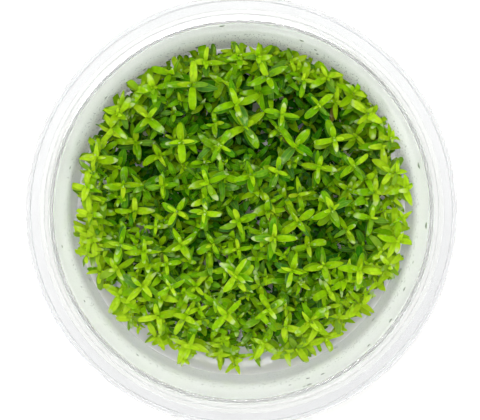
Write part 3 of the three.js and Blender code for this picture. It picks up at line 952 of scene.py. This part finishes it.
def finished_leaves(leaves, random):
    """Gives each leaf its shape, tint and dryness, and settles its age, with painted light that makes leaves
    by the wall and at the front younger and lighter.
    """
    count = len(leaves["base"])
    length = np.linalg.norm(leaves["tip"] - leaves["base"], axis=1)
    leaves["width"] = length * random.uniform(*LEAF_WIDTH, count)
    leaves["blunt"] = random.uniform(0, BLUNTEST, count)
    curl = CURL * (random.random(count) < CURLED_SHARE)
    leaves["bend"] = (random.uniform(*LEAF_BEND, count) + curl) * (1 - 0.4 * leaves["age"])
    leaves["fold"] = random.uniform(0.0, STEEPEST_FOLD, count)
    leaves["roll"] = random.normal(0, ROLL_SPREAD, count)
    leaves["sweep"] = length * random.normal(0, SWEEP_SPREAD, count)
    radius = np.hypot(leaves["tip"][:, 0], leaves["tip"][:, 1])
    front = at_front(leaves["tip"][:, 1])
    # Painted light: leaves near the wall and at the front get a younger, lighter colour, as if lit through
    # the wall and from the front.
    painted_wall_glow = np.clip((radius - EDGE_GLOW_START) / EDGE_GLOW_WIDTH, 0, 1) * (0.25 + 0.3 * front)
    painted_light_lift = painted_wall_glow + FRONT_PAINTED_LIGHT * front
    age = leaves["age"] + random.normal(0, AGE_SPREAD, count) - painted_light_lift
    leaves["age"] = np.clip(age, YOUNGEST, 1)
    leaves["tint"] = random.random(count)
    brown = (random.random(count) < BROWN_SHARE) * (leaves["age"] > BROWN_FROM)
    leaves["dry"] = brown * random.uniform(*BROWN_DEPTH, count)
    return leaves


def main_shoot_leaves(path, turn, size, random):
    """The smaller leaves of a main shoot, between and under those of its solid, and its closed bud.

    From pair to pair down, the lift falls by 0.14 and the length by 3% of the shoot's leaf size, and the
    age grows by 0.12, which also paints shade on the lower pairs.
    """
    distances, lifts, lengths, ages_and_shades = MAIN_BUD.T
    inner = leaf_pairs(path, turn, distances, lifts, size * lengths, ages_and_shades, random)
    length = path_length(path[path[:, 2] > CROWN])
    distances = np.array([*MAIN_PAIRS, *np.arange(MAIN_LOWER_PAIRS, length - 1, INTERNODE)])
    step = np.arange(len(distances))
    lifts = 0.42 - 0.14 * step
    lengths = size * (1.05 - 0.03 * step)
    ages_and_shades = np.clip(0.36 + 0.12 * step, 0, 1)
    outer = leaf_pairs(path, turn + np.pi / 2, distances, lifts, lengths, ages_and_shades, random)
    return [inner, outer]


def side_shoot_leaves(path, turn, size, age, random):
    """All leaves of a side shoot, from its bud down.

    From pair to pair under the bud, the lift falls by 0.15 and the age grows by 0.12, which also paints
    shade on the lower pairs.
    """
    lower = np.arange(SIDE_LOWER_PAIRS, max(path_length(path) - 1, 3), INTERNODE)
    step = np.arange(len(lower))
    distances = np.concatenate([SIDE_BUD[:, 0], lower])
    lifts = np.concatenate([SIDE_BUD[:, 1], 0.32 - 0.15 * step])
    lengths = size * np.concatenate([SIDE_BUD[:, 2], np.ones(len(lower))])
    ages_and_shades = np.clip(age + np.concatenate([SIDE_BUD[:, 3], 0.12 * (1 + step)]), 0, 1)
    tilt = random.uniform(0, SIDE_TILT)
    return leaf_pairs(path, turn, distances, lifts, lengths, ages_and_shades, random, tilt)


def canopy_height(x, y, tops):
    """The canopy's height over points: the mean of the shoots' tops, weighted by (distance + 1)^-3."""
    weight = (gaps(x, y, tops) + 1.0) ** -3
    return (weight * tops[:, 2]).sum(1) / weight.sum(1)


def at_front(y):
    """From 0 at the label's side to 1 at the side across from it."""
    return 0.5 - 0.5 * np.clip(y / FRONT_DEPTH, -1, 1)


def side_shoot_tops(tops, spacing, least, most, apart, from_wall, random):
    """Places for smaller shoots: a hexagonal grid, moved at random, without those near a main shoot.

    Their tops stand between the least and the most drop under the canopy, and lower by the valley drop
    times exp(-(d / r)^2) at a distance d from the middle of a valley of radius r.
    """
    reach = int(MOUTH_RADIUS / spacing) + 3
    row, column = np.mgrid[-reach:reach + 1, -reach:reach + 1]
    x = ((column + row % 2 / 2) * spacing).ravel() + random.uniform(-0.4, 0.4, row.size) * spacing
    y = (row * spacing * np.sqrt(0.75)).ravel() + random.uniform(-0.4, 0.4, row.size) * spacing
    away = gaps(x, y, VALLEYS) / VALLEYS[:, 2]
    drop = random.uniform(least, most, row.size) + VALLEY_DROP * np.exp(-away.min(1) ** 2)
    z = np.clip(canopy_height(x, y, tops) - drop, CROWN + 2.5, CANOPY_LIMIT - 1)
    clearing = FRONT_GAPS * at_front(y) * random.random(row.size)
    kept = (gaps(x, y, tops).min(1) > apart) & (np.hypot(x, y) < wall_at(z) - from_wall - clearing)
    return np.stack([x, y, z], -1)[kept], drop[kept]


def wall_shoot_tops(random):
    """Places for small shoots along the wall, round its back half and a little more, and their drops."""
    angle = np.radians(np.arange(WALL_SHOOTS_START, WALL_SHOOTS_END, WALL_SHOOT_STEP))
    angle = angle + np.radians(random.uniform(-2, 2, len(angle)))
    z = random.uniform(WALL_SHOOT_LOWEST, CANOPY_LIMIT - 1, len(angle))
    from_wall = random.uniform(*WALL_SHOOT_GAP, len(angle))
    from_wall += LEFT_GAP * np.clip(np.cos(angle - np.radians(LEFT_GAP_ANGLE)), 0, 1)
    radius = wall_at(z) - from_wall
    return around(radius, angle, z), random.uniform(0, 2, len(angle))


def root_threads(root, random):
    """Fine roots that spread from a plantlet's foot into the gel.

    At t along, a root has spread by reach t and strayed sideways by wave t sin(9 t + turn). From its start
    it has sunk by (sink + start) t^1.2.
    """
    parts = []
    t = np.linspace(0, 1, ROOT_POINTS)
    for k in range(ROOTS):
        turn = GOLDEN * k + random.uniform(0, 0.6)
        reach = random.uniform(*ROOT_REACH)
        sink = random.uniform(*ROOT_SINK)
        wave = ROOT_WAVE * np.sin(t * 9 + turn)
        x = root[0] + reach * t * np.cos(turn) - wave * t * np.sin(turn)
        y = root[1] + reach * t * np.sin(turn) + wave * t * np.cos(turn)
        z = root[2] + ROOT_START - (sink + ROOT_START) * t ** 1.2
        path = np.stack([x, y, np.maximum(z, FLOOR + 0.5)], -1)
        room = (wall_at(path[:, 2]) - ROOT_CLEARANCE) / np.maximum(np.hypot(x, y), 1e-6)
        path[:, :2] *= np.minimum(1, room)[:, None]
        parts.append(tube_part(path, ROOT_RADIUS - ROOT_TAPER * t, 5, 1))
    return parts


def solid_leaves(plantlet):
    """The leaves of a plantlet's solid, which start a little further in.

    A leaf's age grows with its depth under the top of its shoot, which is the one where the distance
    across and a tenth of the depth are least together, so deeper leaves also get painted shade. Steep leaves
    are younger.
    """
    bases, tips, tops = plantlet["bases"], plantlet["tips"], plantlet["tops"]
    outward = tips - bases
    flat = outward * np.array([1, 1, 0])
    flat /= np.linalg.norm(flat, axis=1, keepdims=True)
    below = tops[None, :, 2] - bases[:, None, 2]
    gap = np.linalg.norm(bases[:, None, :2] - tops[None, :, :2], axis=2) + 0.1 * below
    depth = below[np.arange(len(below)), gap.argmin(1)]
    steep = outward[:, 2] / np.linalg.norm(outward, axis=1) > STEEP
    age = np.clip(0.12 + 0.09 * depth - 0.15 * steep, 0, 1)
    return {"base": bases - 0.3 * flat, "tip": tips, "age": age}


def main_shoot(plantlet, top, path, random):
    """A main shoot's added leaves and its stem. The leaves turn and measure as the solid's topmost ones."""
    close = np.linalg.norm(plantlet["bases"] - top, axis=1) < SAME_WHORL
    reach = (plantlet["tips"] - plantlet["bases"])[close]
    flat = reach[np.abs(reach[:, 2]).argmin()] if len(reach) else np.array([1.0, 0, 0])
    size = np.linalg.norm(reach, axis=1).max() if len(reach) else 4.5
    leaves = main_shoot_leaves(path, np.arctan2(flat[1], flat[0]), size, random)
    thick = np.linspace(*MAIN_TAPER, len(path)) * STEM_RADIUS
    return leaves, tube_part(path, thick, STEM_SIDES, 1)


def side_shoot(main_path, top, drop, random):
    """A side shoot's leaves and its stem, which leaves a main stem some way under its own top."""
    height = max(CROWN + 0.3, top[2] - random.uniform(*BRANCH_DROP))
    start = main_path[np.abs(main_path[:, 2] - height).argmin()]
    path = side_stem(start, top)
    # Painted depth shade: a shoot deeper under the canopy gets an older, darker leaf colour.
    age = min(0.08 + 0.075 * drop, 1.0)
    size = random.uniform(*SIDE_LEAF)
    leaves = side_shoot_leaves(path, random.uniform(0, np.pi), size, age, random)
    thick = np.linspace(*SIDE_TAPER, len(path)) * STEM_RADIUS
    return leaves, tube_part(path, thick, STEM_SIDES if drop < DEEP_DROP else DEEP_STEM_SIDES, 1)


def build_plantlets(leaf, stem, random):
    """Dresses each plantlet's solid, and grows the smaller shoots from the nearest main stems."""
    names = sorted(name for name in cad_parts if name.startswith("plantlet_"))
    plantlets = [read_plantlet(name) for name in names]
    tops = np.concatenate([plantlet["tops"] for plantlet in plantlets])
    owner = np.repeat(np.arange(len(names)), [len(plantlet["tops"]) for plantlet in plantlets])
    stems = [main_stem(plantlets[k]["root"], top) for k, top in zip(owner, tops)]
    layers = [side_shoot_tops(tops, *layer, random) for layer in SHOOT_LAYERS]
    layers.append(wall_shoot_tops(random))
    side_tops, drops = (np.concatenate(rows) for rows in zip(*layers))
    near = gaps(side_tops[:, 0], side_tops[:, 1], tops).argmin(1)
    for k, (name, plantlet) in enumerate(zip(names, plantlets)):
        groups, parts = [solid_leaves(plantlet)], []
        for number in np.flatnonzero(owner == k):
            leaves, tube = main_shoot(plantlet, tops[number], stems[number], random)
            groups += leaves
            parts.append(tube)
            for branch in np.flatnonzero(near == number):
                leaves, tube = side_shoot(stems[number], side_tops[branch], drops[branch], random)
                groups.append(leaves)
                parts.append(tube)
        parts += root_threads(plantlet["root"], random)
        leaves = finished_leaves(joined(groups), random)
        upper = leaves["age"] < LOWER_AGE
        for form, chosen in ((UPPER_LEAF, upper), (LOWER_LEAF, ~upper)):
            if chosen.any():
                parts.append(leaf_part(form, {key: rows[chosen] for key, rows in leaves.items()}))
        piece = mesh_piece(f"leafy_{name}", parts, [leaf, stem], 70)
        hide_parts(name)


# Camera, light and floor

def build_camera():
    camera = placed("camera", bpy.data.cameras.new("camera"))
    camera.data.lens = LENS
    camera.data.sensor_width = SENSOR
    camera.data.sensor_fit = "HORIZONTAL"
    camera.location = Vector(CAMERA_PLACE) * MM
    bpy.context.scene.camera = camera


def build_overhead_light():
    """A soft square light that faces the cup."""
    light = placed("overhead", bpy.data.lights.new("overhead", "AREA"))
    light.data.shape = "SQUARE"
    light.data.size = OVERHEAD_SIZE
    light.data.energy = OVERHEAD_POWER
    light.location = OVERHEAD_PLACE
    light.rotation_euler = (-Vector(OVERHEAD_PLACE)).to_track_quat("-Z", "Y").to_euler()


def build_table():
    """A white floor with a faint glow of its own."""
    half, low = TABLE_HALF, -TABLE_DROP * MM
    corners = [(-half, -half, low), (half, -half, low), (half, half, low), (-half, half, low)]
    mesh = bpy.data.meshes.new("table")
    mesh.from_pydata(corners, [], [(0, 1, 2, 3)])
    table = placed("table", mesh)
    material, tree, shader = material_named("white_table")
    feed(tree, shader, {
        "Base Color": (0.85, 0.85, 0.84, 1),
        "Emission Color": (1, 1, 0.98, 1),
        "Emission Strength": 0.1,
        "Roughness": 0.9,
        "Specular IOR Level": 0,
    })
    mesh.materials.append(material)


def build_studio():
    """A white room, brightest at the horizon, with one soft light overhead."""
    world = bpy.data.worlds.new("studio")
    world.use_nodes = True
    tree = world.node_tree
    direction = node(tree, "ShaderNodeTexCoord").outputs["Generated"]
    upward = node(tree, "ShaderNodeSeparateXYZ", {0: direction}).outputs["Z"]
    strength = span(tree, upward, 0.0, HORIZON_TOP, HORIZON_LIGHT, ZENITH_LIGHT)
    feed(tree, tree.nodes["Background"], {"Strength": strength, "Color": (1, 1, 1, 1)})
    bpy.context.scene.world = world
    build_overhead_light()
    build_table()
    bpy.context.scene.view_settings.view_transform = "Standard"


build_camera()
build_studio()
random = np.random.default_rng(RANDOM_SEED)
build_cup(clear_plastic())
build_label(label_paper())
build_gel(set_gel())
build_condensation(fog_film(), water(), random)
build_plantlets(leaf_green(), stem_green(), random)
